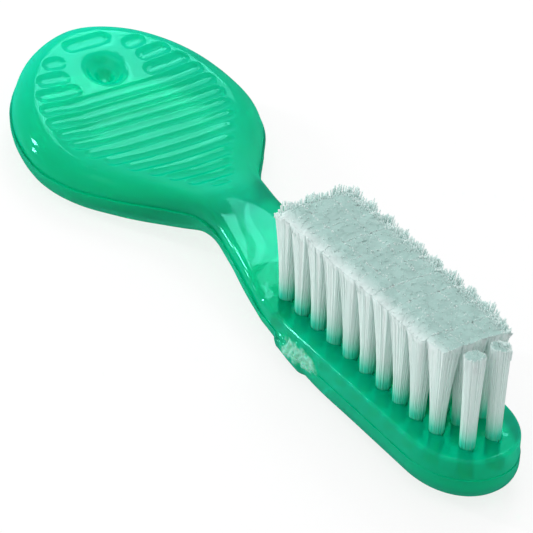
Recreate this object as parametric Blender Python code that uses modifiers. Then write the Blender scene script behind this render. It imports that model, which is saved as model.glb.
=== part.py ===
# Short thumb-grip toothbrush: one translucent moulding (thumb paddle, neck and head) and 32 nylon tufts.
# Built in metres with +Z up and the head tip towards +X, then laid in the pose it rests in on a table.
import math

import bmesh
import bpy
import numpy as np
from mathutils import Matrix, Vector
from mathutils.geometry import delaunay_2d_cdt

for old in list(bpy.data.objects):
    bpy.data.objects.remove(old, do_unlink=True)

mm = 0.001

# Head: its tip, width and thickness, and the field of tufts. x runs from the last row of tufts.
tip_reach = 6.65 * mm
tip_round_length = 7.4 * mm
head_half_width = 5.75 * mm
head_thickness = 4.95 * mm
tip_roundness = 2.1
row_count = 10
tuft_pitch = 2.864 * mm
row_spacing = 2.94 * mm
last_row_spacing = 2.62 * mm
tip_tuft_ahead = 3.504 * mm
tip_tuft_y = 1.52 * mm

# Neck and thumb paddle, measured from the first row of tufts to the far end.
handle_reach = 47.93 * mm
neck_half_width = 4.12 * mm
neck_rise = 3.05 * mm
neck_crown = 0.35 * mm
paddle_half_width = 13.1 * mm
top_edge_reach = 2.8 * mm
under_edge_reach = 3.1 * mm
under_edge_height = 2.9 * mm
parting_ledge = 0.08 * mm
least_wall = 0.12 * mm

# Stations of the curves along the brush: shares of the tuft field, then shares of the handle's reach.
outline_field_shares = np.array([0.645, 0.315, 0.154])
outline_handle_shares = np.array([0.004, 0.089, 0.175, 0.261, 0.326, 0.391, 0.476, 0.563, 0.648,
                                  0.735, 0.821, 0.896, 0.954, 1])
head_width_shares = np.array([1, 1.005, 0.997, 0.962])
neck_width_shares = np.array([1.25, 1.0875, 1, 1.1125])
paddle_width_shares = np.array([0.4615, 0.6885, 0.9038, 1, 0.9885, 0.8962, 0.7192, 0.4885, 0])
top_field_shares = np.array([1.25, 0.218, 0.063])
top_handle_shares = np.array([0.008, 0.0455, 0.083, 0.175, 0.261, 0.317, 0.373, 0.4335, 0.541, 0.648,
                              0.756, 0.863, 1.01])
top_rise_shares = np.array([0, 0, 0, 0, 0.148, 0.328, 0.639, 0.918, 1, 0.89, 0.775, 0.72, 0.865,
                            1.16, 1.56, 2.09])
depth_field_shares = np.array([1.25, 0.606, 0.334, 0.195])
depth_handle_shares = np.array([0.004, 0.089, 0.175, 0.261, 0.348, 0.4335, 0.541, 0.648, 0.756,
                                0.863, 1.01])
thickness_shares = np.array([1, 1, 0.98, 0.895, 0.7, 0.69, 0.66, 0.69, 0.89, 0.99, 1.05,
                             1.1, 1.15, 1.2, 1.27])
parting_height_shares = np.array([0.536, 0.536, 0.531, 0.512, 0.544, 0.554, 0.5385, 0.529, 0.535,
                                  0.551, 0.577, 0.547, 0.505, 0.461, 0.423])
edge_field_shares = np.array([1.25, 0.063])
edge_handle_shares = np.array([0.091, 0.261, 0.373, 0.476, 0.563, 1.01])
top_edge_shares = np.array([0.161, 0.179, 0.321, 0.393, 0.607, 0.893, 0.946, 1])
under_edge_shares = np.array([0.532, 0.532, 0.516, 0.532, 0.677, 0.903, 1, 1])
under_edge_height_shares = np.array([0.672, 0.672, 0.586, 0.655, 0.759, 0.931, 1, 0.931])
crown_field_shares = np.array([1.25])
crown_handle_shares = np.array([0.008, 0.112, 0.217, 0.321, 0.404, 1.01])
crown_shares = np.array([0, 0, 0.7, 1, 0.6, 0, 0])
tip_spine_share = 0.3
far_spine_start_share = 0.738
far_spine_share = 0.4

# Grooves across the thumb panel and the round moulded dimple near its end.
groove_pitch = 1.941 * mm
land_width = 0.391 * mm
groove_wall_run = 0.25 * mm
groove_depth = 0.42 * mm
first_groove_inset = 11.5 * mm
groove_length_shares = np.array([0.773, 0.776, 0.757, 0.736, 0.713, 0.664, 0.611, 0.552, 0.5, 0.439])
split_groove_length_shares = np.array([0.756, 0.714, 0.617])
end_groove_beyond = 7.45 * mm
end_groove_length_share = 0.353
neck_notch_half_length = 1.0 * mm
neck_notch_width = 0.9 * mm
dimple_beyond = 3.55 * mm
dimple_clear_radius = 3.96 * mm
dimple_radius = 2.5 * mm
dimple_depth = 1.5 * mm
dimple_radius_shares = np.array([1, 0.88, 0.66, 0.56, 0.24])
dimple_depth_shares = np.array([0, 0.133, 0.633, 0.867, 1])
cutter_margin = 0.6 * mm

# Torn gate on the near side wall of the head.
gate_ahead = 6.4 * mm
gate_length = 6.4 * mm
gate_height = 2.6 * mm
gate_proud = 0.8 * mm
gate_sunk = 0.5 * mm
gate_below_face = 0.75 * mm
gate_across_shares = np.array([-0.5, -0.2, 0.15, 0.5])
gate_down_shares = np.array([0, -0.35, -0.7, -1])
gate_proud_shares = np.array([[0.1, 0.3, 0.5, 0.15], [0.4, 0.7, 0.9, 0.35], [0.5, 0.85, 1, 0.4],
                              [0.3, 0.55, 0.6, 0.15]])

# One tuft: its hole, and the strands that open upwards from the root.
hole_radius = 0.95 * mm
hole_depth = 3.1 * mm
hole_clearance = 0.05 * mm
tuft_height = 10.6 * mm
tuft_top_gap = 0.1 * mm
tip_opening_share = 0.8
row_splay = 0.35 * mm
root_top_sink = 0.3 * mm
strand_radius = 0.2 * mm
strand_sides = 3
height_scatter = 0.2 * mm
tuft_lean = 0.12 * mm
tuft_lean_shares = np.array([0.25, 0, -0.42, 0, 0, 0, 0.5, 0.67, 0.83, 1])
inner_ring_share = 0.36
outer_ring_share = 0.73
inner_strands = 4
outer_strands = 8

# Flat metal anchor that folds each tuft in its hole.
anchor_width = 2.4 * mm
anchor_thickness = 0.25 * mm
anchor_height = 1.2 * mm
anchor_lift = 0.35 * mm

# Facet counts.
tip_stations = 12
side_stations = 62
arc_steps = 4
top_rows = 4
round_sides = 12
dimple_sides = 24
end_steps = 4
under_line_points = 400
settle_passes = 20


def smooth_through(stations, values, at):
    """Cubic curve through the given stations, with slopes from the neighbouring stations."""
    order = np.argsort(stations)
    xs, ys = np.asarray(stations)[order], np.asarray(values)[order]
    slopes = np.gradient(ys, xs)
    flat = np.zeros(len(xs), bool)
    flat[1:-1] = (ys[1:-1] == ys[:-2]) | (ys[1:-1] == ys[2:])
    slopes[flat] = 0
    at = np.clip(at, xs[0], xs[-1])
    i = np.clip(np.searchsorted(xs, at) - 1, 0, len(xs) - 2)
    step = xs[i + 1] - xs[i]
    t = (at - xs[i]) / step
    return ((2 * t ** 3 - 3 * t ** 2 + 1) * ys[i] + (t ** 3 - 2 * t ** 2 + t) * step * slopes[i]
            + (3 * t ** 2 - 2 * t ** 3) * ys[i + 1] + (t ** 3 - t ** 2) * step * slopes[i + 1])


# Places along the brush that the other sizes give.
field_length = (row_count - 1) * tuft_pitch
first_tuft_x = -field_length
far_end_x = first_tuft_x - handle_reach
tip_round_start_x = tip_reach - tip_round_length
far_spine_start_x = first_tuft_x - handle_reach * far_spine_start_share
first_groove_x = far_end_x + first_groove_inset
dimple_x = first_groove_x - dimple_beyond
gate_x = first_tuft_x + gate_ahead


def stations(field_shares, handle_shares):
    """Places along X: shares of the tuft field from its first row, then shares of the handle beyond it."""
    return np.r_[first_tuft_x + field_length * field_shares, first_tuft_x - handle_reach * handle_shares]


top_x = stations(top_field_shares, top_handle_shares)
depth_x = stations(depth_field_shares, depth_handle_shares)
edge_x = stations(edge_field_shares, edge_handle_shares)
crown_x = stations(crown_field_shares, crown_handle_shares)
side_outline_x = stations(outline_field_shares, outline_handle_shares)
side_outline_y = np.r_[head_half_width * head_width_shares, neck_half_width * neck_width_shares,
                       paddle_half_width * paddle_width_shares]


def top_height(x):
    return neck_rise * smooth_through(top_x, top_rise_shares, x)


def under_height(x):
    return top_height(x) - head_thickness * smooth_through(depth_x, thickness_shares, x)


def named_collection(name):
    made = bpy.data.collections.new(name)
    bpy.context.scene.collection.children.link(made)
    return made


parts = named_collection("toothbrush")
cutters = named_collection("toothbrush_cutters")


def plastic(name, colour, roughness, transmission):
    material = bpy.data.materials.new(name)
    material.use_nodes = True
    shader = material.node_tree.nodes["Principled BSDF"]
    shader.inputs["Base Color"].default_value = (*colour, 1)
    shader.inputs["Roughness"].default_value = roughness
    shader.inputs["Transmission Weight"].default_value = transmission
    return material


def add_object(name, mesh, collection, material=None):
    made = bpy.data.objects.new(name, mesh)
    collection.objects.link(made)
    if material:
        mesh.materials.append(material)
    if collection is cutters:
        made.hide_render = True
        made.display_type = "WIRE"
    return made


def shape(name, verts, faces):
    mesh = bpy.data.meshes.new(name)
    mesh.from_pydata([tuple(v) for v in verts], [], faces)
    mesh.validate()
    return mesh


# Outline of the half plan, from the tip round to the far end of the paddle.
angle = np.linspace(0, math.pi / 2, tip_stations + 1)
tip_px = tip_round_start_x + tip_round_length * np.cos(angle) ** (2 / tip_roundness)
tip_py = head_half_width * np.sin(angle) ** (2 / tip_roundness)
run_x = np.r_[tip_px[-2:], side_outline_x, side_outline_x[-2]]
run_y = np.r_[tip_py[-2:], side_outline_y, -side_outline_y[-2]]
travel = np.r_[0, np.cumsum(np.hypot(np.diff(run_x), np.diff(run_y)))]
fine = np.linspace(travel[1], travel[-2], side_stations + 1)[1:]
out_x = np.r_[tip_px, smooth_through(travel, run_x, fine)]
out_y = np.r_[tip_py, smooth_through(travel, run_y, fine)]
out_y[0] = out_y[-1] = 0
along_x, along_y = np.gradient(out_x), np.gradient(out_y)
along_x[0] = along_x[-1] = 0
length = np.hypot(along_x, along_y)
normal_x, normal_y = along_y / length, -along_x / length
spine_x = np.where(out_x > tip_round_start_x,
                   tip_round_start_x + (out_x - tip_round_start_x) * tip_spine_share, out_x)
spine_x = np.where(out_x < far_spine_start_x,
                   far_spine_start_x + (out_x - far_spine_start_x) * far_spine_share, spine_x)

top_run = top_edge_reach * smooth_through(edge_x, top_edge_shares, out_x)
low_run = under_edge_reach * smooth_through(edge_x, under_edge_shares, out_x)
low_rise = under_edge_height * smooth_through(edge_x, under_edge_height_shares, out_x)
part_share = smooth_through(depth_x, parting_height_shares, out_x)
part_z = under_height(out_x) + part_share * (top_height(out_x) - under_height(out_x))
half_width_order = np.argsort(out_x)


def outline_half_width(x):
    return np.interp(x, out_x[half_width_order], out_y[half_width_order])


def inset(distance):
    """Outline points moved inwards along their plan normals."""
    return out_x - normal_x * distance, np.maximum(out_y - normal_y * distance, 0)


def top_point(x, y, half_width):
    crown = neck_crown * smooth_through(crown_x, crown_shares, x)
    return top_height(x) + crown * (1 - np.minimum(y / half_width, 1) ** 2)


rows = []
low_x, low_y = inset(low_run)
low_z = under_height(low_x)
for share in (0, 0.5):
    x = spine_x + (low_x - spine_x) * share
    rows.append((x, low_y * share, under_height(x)))
rise = np.minimum(low_rise, part_z - low_z - least_wall)
for step in range(arc_steps + 1):
    turn = math.pi / 2 * step / arc_steps
    x, y = inset(low_run * (1 - math.sin(turn)) - parting_ledge)
    rows.append((x, y, low_z + rise * (1 - math.cos(turn))))
x, y = inset(-parting_ledge)
rows.append((x, y, part_z))
x, y = inset(0)
rows.append((x, y, part_z))
in_x, in_y = inset(top_run)
in_z = top_height(in_x)
drop = np.minimum(top_run, in_z - part_z - least_wall)
for step in range(arc_steps + 1):
    turn = math.pi / 2 * step / arc_steps
    x, y = inset(top_run * (1 - math.cos(turn)))
    rows.append((x, y, in_z - drop * (1 - math.sin(turn))))
for row in range(1, top_rows + 1):
    share = 1 - row / top_rows
    x = spine_x + (in_x - spine_x) * share
    rows.append((x, in_y * share, top_point(x, in_y * share, np.maximum(in_y, least_wall))))

grid = np.array([np.stack(r, 1) for r in rows])
grid[:, 0, 1] = grid[:, -1, 1] = 0
row_total, station_total = grid.shape[:2]
faces = [(r * station_total + s, r * station_total + s + 1,
          (r + 1) * station_total + s + 1, (r + 1) * station_total + s)
         for r in range(row_total - 1) for s in range(station_total - 1)]
green = plastic("emerald_translucent", (0.0, 0.42, 0.24), 0.12, 0.5)
body = add_object("handle_moulding", shape("handle_moulding", grid.reshape(-1, 3), faces), parts, green)
mirror = body.modifiers.new("other_half", "MIRROR")
mirror.use_axis = (False, True, False)
mirror.use_clip = True
mirror.merge_threshold = 0.00001


def rounded_bar(x, y_from, y_to, half_width):
    """Plan points of a bar along Y with round ends."""
    if y_to - y_from < 2 * half_width:
        half_width = (y_to - y_from) / 2
    points = []
    for centre, start in ((y_to - half_width, 0), (y_from + half_width, math.pi)):
        for step in range(end_steps + 1):
            turn = start + math.pi * step / end_steps
            points.append((x + half_width * math.cos(turn), centre + half_width * math.sin(turn)))
    return points


def groove_cutter(x, y_from, y_to, width, floor_width):
    """Closed drafted cutter whose floor and lid follow the thumb surface."""
    slack = (width - floor_width) / 2
    grow = slack / groove_depth * cutter_margin
    outlines = (rounded_bar(x, y_from + slack, y_to - slack, floor_width / 2),
                rounded_bar(x, y_from - grow, y_to + grow, width / 2 + grow))
    lifts = (-groove_depth, cutter_margin)
    count = len(outlines[0])
    verts = [(px, py, float(top_height(np.array([px]))[0]) + lift)
             for points, lift in zip(outlines, lifts) for px, py in points]
    sides = [(i, (i + 1) % count, count + (i + 1) % count, count + i) for i in range(count)]
    return verts, sides + [tuple(reversed(range(count))), tuple(range(count, 2 * count))]


def surface_lathe(x, radii, lifts, sides):
    """Closed turned shape whose rings lie along the thumb surface; its first and last rings are capped."""
    turns = [2 * math.pi * k / sides for k in range(sides)]
    plan = [(x + r * math.cos(t), r * math.sin(t), lift) for r, lift in zip(radii, lifts) for t in turns]
    verts = [(px, py, float(top_height(np.array([px]))[0]) + lift) for px, py, lift in plan]
    faces = [(i * sides + k, i * sides + (k + 1) % sides, (i + 1) * sides + (k + 1) % sides,
              (i + 1) * sides + k) for i in range(len(radii) - 1) for k in range(sides)]
    faces += [tuple(reversed(range(sides))), tuple(range((len(radii) - 1) * sides, len(radii) * sides))]
    return verts, faces


def merged(pieces):
    verts, faces = [], []
    for piece_verts, piece_faces in pieces:
        faces += [tuple(i + len(verts) for i in face) for face in piece_faces]
        verts += list(piece_verts)
    return verts, faces


groove_width = groove_pitch - land_width
floor_width = groove_width - 2 * groove_wall_run
grooves = []
for i, share in enumerate(groove_length_shares):
    x = first_groove_x + i * groove_pitch
    half = share * outline_half_width(x)
    grooves.append(groove_cutter(x, -half, half, groove_width, floor_width))
neck_notch_x = first_groove_x + len(groove_length_shares) * groove_pitch
grooves.append(groove_cutter(neck_notch_x, -neck_notch_half_length, neck_notch_half_length,
                             neck_notch_width, neck_notch_width / 2))
for i, share in enumerate(split_groove_length_shares):
    x = first_groove_x - (i + 1) * groove_pitch
    inner = math.sqrt(dimple_clear_radius ** 2 - (x - dimple_x) ** 2)
    outer = share * outline_half_width(x)
    grooves.append(groove_cutter(x, inner, outer, groove_width, floor_width))
    grooves.append(groove_cutter(x, -outer, -inner, groove_width, floor_width))
end_groove_x = first_groove_x - end_groove_beyond
half = end_groove_length_share * outline_half_width(end_groove_x)
grooves.append(groove_cutter(end_groove_x, -half, half, groove_width, floor_width))
dimple_radii = dimple_radius * dimple_radius_shares
dimple_depths = dimple_depth * dimple_depth_shares
dimple_slope = (dimple_radii[0] - dimple_radii[1]) / (dimple_depths[1] - dimple_depths[0])
dimple = surface_lathe(dimple_x, [*dimple_radii[::-1], dimple_radii[0] + dimple_slope * cutter_margin],
                       [*-dimple_depths[::-1], cutter_margin], dimple_sides)

tuft_spots = []
for i in range(row_count):
    x = first_tuft_x + i * tuft_pitch
    side = last_row_spacing if i == row_count - 1 else row_spacing
    for row, y in (("near", -side), ("middle", 0), ("far", side)):
        tuft_spots.append((f"tuft_{row}_{i + 1:02d}", x, y))
tuft_spots += [("tuft_tip_near", tip_tuft_ahead, -tip_tuft_y), ("tuft_tip_far", tip_tuft_ahead, tip_tuft_y)]


def winged_circle(radius, wing_half_width, wing_half_thickness):
    """Circle cut by two thin wings along X, the plan of a hole with its anchor slit."""
    root = math.asin(wing_half_thickness / radius)
    points = []
    for start in (0, math.pi):
        points += [(wing_half_width * math.cos(start), -wing_half_thickness * math.cos(start)),
                   (wing_half_width * math.cos(start), wing_half_thickness * math.cos(start))]
        turns = np.linspace(start + root, start + math.pi - root, round_sides // 2)
        points += [(radius * math.cos(t), radius * math.sin(t)) for t in turns]
    return points


hole_plan = winged_circle(hole_radius, anchor_width / 2 + hole_clearance,
                          anchor_thickness / 2 + hole_clearance)


def hole_cutter(x, y):
    count = len(hole_plan)
    verts = [(x + px, y + py, z) for z in (-hole_depth, cutter_margin) for px, py in hole_plan]
    sides = [(i, (i + 1) % count, count + (i + 1) % count, count + i) for i in range(count)]
    return verts, sides + [tuple(reversed(range(count))), tuple(range(count, 2 * count))]


def gate_lump():
    """Low block with an uneven broken face, sunk into the near side wall."""
    across = gate_across_shares * gate_length
    down = gate_down_shares * gate_height - gate_below_face
    proud = gate_proud_shares * gate_proud
    wall = -float(outline_half_width(gate_x))
    verts = [(gate_x + a, wall - p, d) for d, line in zip(down, proud) for a, p in zip(across, line)]
    verts += [(gate_x + a, wall + gate_sunk, d) for d in down for a in across]
    n = len(across)
    faces = []
    for r in range(n - 1):
        for c in range(n - 1):
            i = r * n + c
            faces.append((i, i + n, i + n + 1, i + 1))
            faces.append((n * n + i, n * n + i + 1, n * n + i + n + 1, n * n + i + n))
    for i in range(n - 1):
        low = n * (n - 1)
        faces.append((i, i + 1, n * n + i + 1, n * n + i))
        faces.append((low + i, n * n + low + i, n * n + low + i + 1, low + i + 1))
        faces.append((i * n, n * n + i * n, n * n + i * n + n, i * n + n))
        faces.append((i * n + n - 1, i * n + 2 * n - 1, n * n + i * n + 2 * n - 1, n * n + i * n + n - 1))
    return verts, faces


def combine(target, name, solid, operation):
    tool = add_object(name, shape(name, *solid), cutters)
    modifier = target.modifiers.new(name, "BOOLEAN")
    modifier.operation = operation
    modifier.solver = "EXACT"
    modifier.object = tool


combine(body, "torn_gate", gate_lump(), "UNION")
combine(body, "thumb_grooves", merged(grooves), "DIFFERENCE")
combine(body, "round_dimple", dimple, "DIFFERENCE")
combine(body, "tuft_holes", merged([hole_cutter(x, y) for _, x, y in tuft_spots]), "DIFFERENCE")


closest_spacing = min(tuft_pitch, row_spacing, last_row_spacing)
tuft_top_spread = (closest_spacing - tuft_top_gap) / 2 - strand_radius


def strand_centres(seed):
    """Base and top positions of a tuft's strands: an inner and an outer ring that open upwards."""
    chance = np.random.default_rng(seed)
    spots = []
    for count, share in ((inner_strands, inner_ring_share), (outer_strands, outer_ring_share)):
        start = chance.uniform(0, 2 * math.pi / count)
        for k in range(count):
            turn = start + 2 * math.pi * k / count
            lift = float(chance.uniform(-1, 1)) * height_scatter
            spots.append((share, turn, lift))
    return spots


def tuft_mesh(name, x, y, lean, opening, seed):
    """Root plug with the anchor's wings, and the strands growing out of its top."""
    radius = hole_radius - hole_clearance
    plan = winged_circle(radius, radius, anchor_thickness / 2)
    plan = [p for i, p in enumerate(plan) if i % (len(plan) // 2) > 1]
    count = len(plan)
    base_z = -hole_depth + hole_clearance
    levels = [base_z, base_z + anchor_lift, base_z + anchor_lift + anchor_height, -root_top_sink]
    verts = [(px, py, z) for z in levels for px, py in plan]
    faces = [tuple(reversed(range(count)))]
    wings = (count // 2 - 1, count - 1)
    for level in range(3):
        for i in range(count):
            j = (i + 1) % count
            ring, above = level * count, (level + 1) * count
            side = (ring + i, ring + j, above + j, above + i)
            if level != 1 or i not in wings:
                faces.append(side)
                continue
            reach = math.copysign(anchor_width / 2, plan[i][0] + plan[j][0])
            tip = len(verts)
            verts += [(reach, verts[k][1], verts[k][2]) for k in side]
            faces.append((tip, tip + 1, tip + 2, tip + 3))
            faces += [(side[k], side[(k + 1) % 4], tip + (k + 1) % 4, tip + k) for k in range(4)]

    loops = [[Vector(p) for p in plan]]
    tops = []
    for share, turn, lift in strand_centres(seed):
        centre = Vector((math.cos(turn), math.sin(turn))) * share
        turns = [turn + 2 * math.pi * q / strand_sides for q in range(strand_sides)]
        corners = [Vector((math.cos(t), math.sin(t))) * strand_radius for t in turns]
        loops.append([centre * radius + c for c in corners])
        spread = centre * (opening * tuft_top_spread / outer_ring_share)
        tops.append(([spread + c + lean for c in corners], tuft_height + lift))
    flat = [p for loop in loops for p in loop]
    starts = np.cumsum([0] + [len(loop) for loop in loops])
    rings = [list(range(a, b)) for a, b in zip(starts[:-1], starts[1:])]
    points, _, cells, _, _, owners = delaunay_2d_cdt(flat, [], rings, 1, 1e-9)
    nearest = [min(range(len(flat)), key=lambda k: (flat[k] - p).length_squared) for p in points]
    ids = [3 * count + k if k < count else len(verts) + k - count for k in range(len(flat))]
    verts += [(p.x, p.y, -root_top_sink) for p in flat[count:]]
    for cell, owner in zip(cells, owners):
        if len(owner) == 1 and owner[0] == 0:
            faces.append(tuple(ids[nearest[i]] for i in cell))
    for ring, (corners, z) in zip(rings[1:], tops):
        top = len(verts)
        verts += [(c.x, c.y, z) for c in corners]
        base = [ids[k] for k in ring]
        faces += [(base[q], base[(q + 1) % strand_sides], top + (q + 1) % strand_sides, top + q)
                  for q in range(strand_sides)]
        faces.append(tuple(range(top, top + strand_sides)))
    return shape(name, [(vx + x, vy + y, vz) for vx, vy, vz in verts], faces)


nylon = plastic("white_nylon", (0.86, 0.9, 0.89), 0.4, 0.0)
for seed, (name, x, y) in enumerate(tuft_spots):
    column = int(round((x - first_tuft_x) / tuft_pitch))
    if column < row_count:
        lean = Vector((tuft_lean * tuft_lean_shares[column], row_splay * np.sign(y)))
        mesh = tuft_mesh(name, x, y, lean, 1, seed)
    else:
        mesh = tuft_mesh(name, x, y, Vector((0, 0)), tip_opening_share, seed)
    add_object(name, mesh, parts, nylon)

# Lay the brush down: find the line that touches the underside of the head and of the paddle.
under_line_x = np.linspace(far_end_x, tip_reach, under_line_points)
under_line_z = under_height(under_line_x)
slope = 0.0
for _ in range(settle_passes):
    lifted = under_line_z - slope * under_line_x
    head_touch = np.argmin(np.where(under_line_x > first_tuft_x, lifted, np.inf))
    far_touch = np.argmin(np.where(under_line_x < first_tuft_x, lifted, np.inf))
    slope = ((under_line_z[head_touch] - under_line_z[far_touch])
             / (under_line_x[head_touch] - under_line_x[far_touch]))
settle = Matrix.Rotation(math.atan(slope), 4, "Y")
for placed in list(parts.objects) + list(cutters.objects):
    placed.data.transform(settle)
scene_state = bpy.context.evaluated_depsgraph_get()
corners = np.array([v.co for placed in parts.objects
                    for v in placed.evaluated_get(scene_state).to_mesh().vertices])
low, high = corners.min(0), corners.max(0)
home = Matrix.Translation((-(low[0] + high[0]) / 2, 0, -low[2]))
for placed in list(parts.objects) + list(cutters.objects):
    placed.data.transform(home)
    for polygon in placed.data.polygons:
        polygon.use_smooth = placed is body
body.data.set_sharp_from_angle(angle=math.radians(40))
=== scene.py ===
# %% [markdown]
# # A short thumb-grip toothbrush
#
# The object is one translucent green moulding, a thumb paddle, a neck and a head, and 32 tufts of white
# nylon. The solid model is loaded first as a fixed frame, and every piece below is made round it in the
# same place, in metres, with the bristles up and the head's tip towards +X.

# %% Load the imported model
import math

import bmesh
import bpy
import numpy as np
from mathutils import Matrix, Vector, noise
from mathutils.geometry import delaunay_2d_cdt


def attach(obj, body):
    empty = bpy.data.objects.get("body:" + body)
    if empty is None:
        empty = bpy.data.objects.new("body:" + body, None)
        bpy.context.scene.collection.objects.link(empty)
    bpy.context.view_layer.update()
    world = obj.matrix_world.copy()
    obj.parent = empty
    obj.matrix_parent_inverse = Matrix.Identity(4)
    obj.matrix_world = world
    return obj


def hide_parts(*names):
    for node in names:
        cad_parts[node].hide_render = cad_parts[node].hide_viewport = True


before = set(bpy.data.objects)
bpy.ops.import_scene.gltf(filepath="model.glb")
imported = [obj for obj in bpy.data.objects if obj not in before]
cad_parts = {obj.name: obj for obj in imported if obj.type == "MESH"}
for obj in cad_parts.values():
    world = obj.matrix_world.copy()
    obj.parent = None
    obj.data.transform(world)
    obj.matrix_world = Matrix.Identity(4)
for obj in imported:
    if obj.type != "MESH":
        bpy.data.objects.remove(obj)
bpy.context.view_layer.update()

mm = 0.001

# %% [markdown]
# ## Camera
#
# The photograph was taken from the side and above with a long lens, so the brush shows almost no
# perspective. A camera can be placed by eye, or by matching known points. This one was matched: the rows
# of tufts and the grooves, whose pitch is known, lie on the ones of the photograph.

# %% Camera
camera_data = bpy.data.cameras.new("studio_camera")
camera_data.sensor_width = 36
camera_data.lens = 306.04
camera = bpy.data.objects.new("studio_camera", camera_data)
camera.location = (0.298824, -0.217086, 0.27196)
camera.rotation_euler = (0.937377, -0.078414, 1.000288)
bpy.context.scene.collection.objects.link(camera)
bpy.context.scene.camera = camera
print("camera stands", round(camera.location.length, 3), "m from the brush")

# %% [markdown]
# ## A short way to write materials
#
# Nodes can be made by hand in the editor, or in code. In code, sums and products read best as plain
# arithmetic, so a small class wraps a socket and gives it the signs + - *. Everything else, such as a
# noise or a ramp, comes from one method that takes the node's type, its settings and its inputs.


# %% Signals and finishes
class Signal:
    """A socket's value, used in plain arithmetic."""

    def __init__(self, finish, socket):
        self.finish, self.socket = finish, socket

    def maths(self, operation, *values):
        return self.finish.node("ShaderNodeMath", {"operation": operation}, dict(enumerate(values)))

    def __add__(self, other): return self.maths("ADD", self, other)
    def __radd__(self, other): return self.maths("ADD", other, self)
    def __sub__(self, other): return self.maths("SUBTRACT", self, other)
    def __rsub__(self, other): return self.maths("SUBTRACT", other, self)
    def __mul__(self, other): return self.maths("MULTIPLY", self, other)
    def __rmul__(self, other): return self.maths("MULTIPLY", other, self)


class Finish:
    """The nodes of a material or of the sky, made one after another."""

    def __init__(self, owner):
        owner.use_nodes = True
        self.owner, self.tree = owner, owner.node_tree
        self.tree.nodes.clear()

    def node(self, kind, settings=None, values=None, output=0):
        made = self.tree.nodes.new(kind)
        for key, value in (settings or {}).items():
            if key == "stops":
                while len(made.color_ramp.elements) < len(value):
                    made.color_ramp.elements.new(0.5)
                for stop, (place, colour) in zip(made.color_ramp.elements, value):
                    stop.position, stop.color = place, colour
            else:
                setattr(made, key, value)
        for key, value in (values or {}).items():
            if isinstance(value, Signal):
                self.tree.links.new(value.socket, made.inputs[key])
            else:
                made.inputs[key].default_value = value
        return Signal(self, made.outputs[output]) if made.outputs else None

    def noise(self, scale, detail=2.0, roughness=0.5, place=None):
        """Noise from 0 to 1 with `scale` spots to the metre."""
        place = place or self.node("ShaderNodeTexCoord", output="Object")
        return self.node("ShaderNodeTexNoise", {}, {"Vector": place, "Scale": scale, "Detail": detail,
                                                    "Roughness": roughness})

    def ramp(self, value, low, high):
        """0 below `low`, 1 above `high`, with a soft rise between them."""
        return self.node("ShaderNodeMapRange", {"interpolation_type": "SMOOTHSTEP"},
                         {"Value": value, "From Min": low, "From Max": high})

    def blend(self, share, first, second):
        """One colour turning into another as the share goes from 0 to 1."""
        return self.node("ShaderNodeMix", {"data_type": "RGBA"}, {0: share, 6: first, 7: second}, 2)

    def seen(self):
        """1 for what the camera sees, also mirrored or through clear plastic, and 0 as a light."""
        straight, mirrored, through = (self.node("ShaderNodeLightPath", output=f"Is {kind} Ray")
                                       for kind in ("Camera", "Glossy", "Transmission"))
        return self.node("ShaderNodeMath", {"operation": "MAXIMUM"},
                         {0: straight.maths("MAXIMUM", straight, mirrored), 1: through})

    def close(self, shader, output="ShaderNodeOutputMaterial"):
        self.node(output, {}, {"Surface": shader})
        return self.owner


# %% [markdown]
# ## Floor, background and light
#
# The photograph has a pure white background and hardly any shadow. Over-lighting would wash the brush
# out, so the lamps stay at a plain level. The floor adds some of its own white to what the camera sees,
# which thins the shadow but keeps it. The sky is white for the camera and softer as a light.
#
# One large lamp would give one large shine. A glossy moulding shows its curves better in several small
# ones, so each soft box stands where a highlight of the photograph is mirrored from: four of them behind
# the brush, for the neck and the thumb panel, and two sparks in front, for the paddle's rim. A last one
# overhead fills in the shade on the tufts.

# %% Floor
floor_half, own_white = 2.0, 0.8
floor_finish = Finish(bpy.data.materials.new("floor_white"))
paper = floor_finish.node("ShaderNodeBsdfDiffuse", {}, {"Color": (0.93, 0.93, 0.93, 1)})
glow = floor_finish.node("ShaderNodeEmission", {}, {"Color": (1, 1, 1, 1), "Strength": 1.0})
floor_finish.close(floor_finish.node("ShaderNodeMixShader", {},
                                     {0: floor_finish.seen() * own_white, 1: paper, 2: glow}))

floor_mesh = bpy.data.meshes.new("floor")
floor_mesh.from_pydata([(x, y, 0) for x, y in ((-floor_half, -floor_half), (floor_half, -floor_half),
                                               (floor_half, floor_half), (-floor_half, floor_half))],
                       [], [(0, 1, 2, 3)])
floor_mesh.materials.append(floor_finish.owner)
floor = bpy.data.objects.new("floor", floor_mesh)
bpy.context.scene.collection.objects.link(floor)
print("floor made")

# %% Sky
sky_strength = 0.66
sky = Finish(bpy.data.worlds.new("studio"))
bpy.context.scene.world = sky.owner
light = sky.node("ShaderNodeBackground", {}, {"Color": (1, 1, 1, 1), "Strength": sky_strength})
white = sky.node("ShaderNodeBackground", {}, {"Color": (1, 1, 1, 1), "Strength": 1.0})
sky.close(sky.node("ShaderNodeMixShader", {}, {0: sky.seen(), 1: light, 2: white}),
          "ShaderNodeOutputWorld")
print("sky made")


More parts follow.
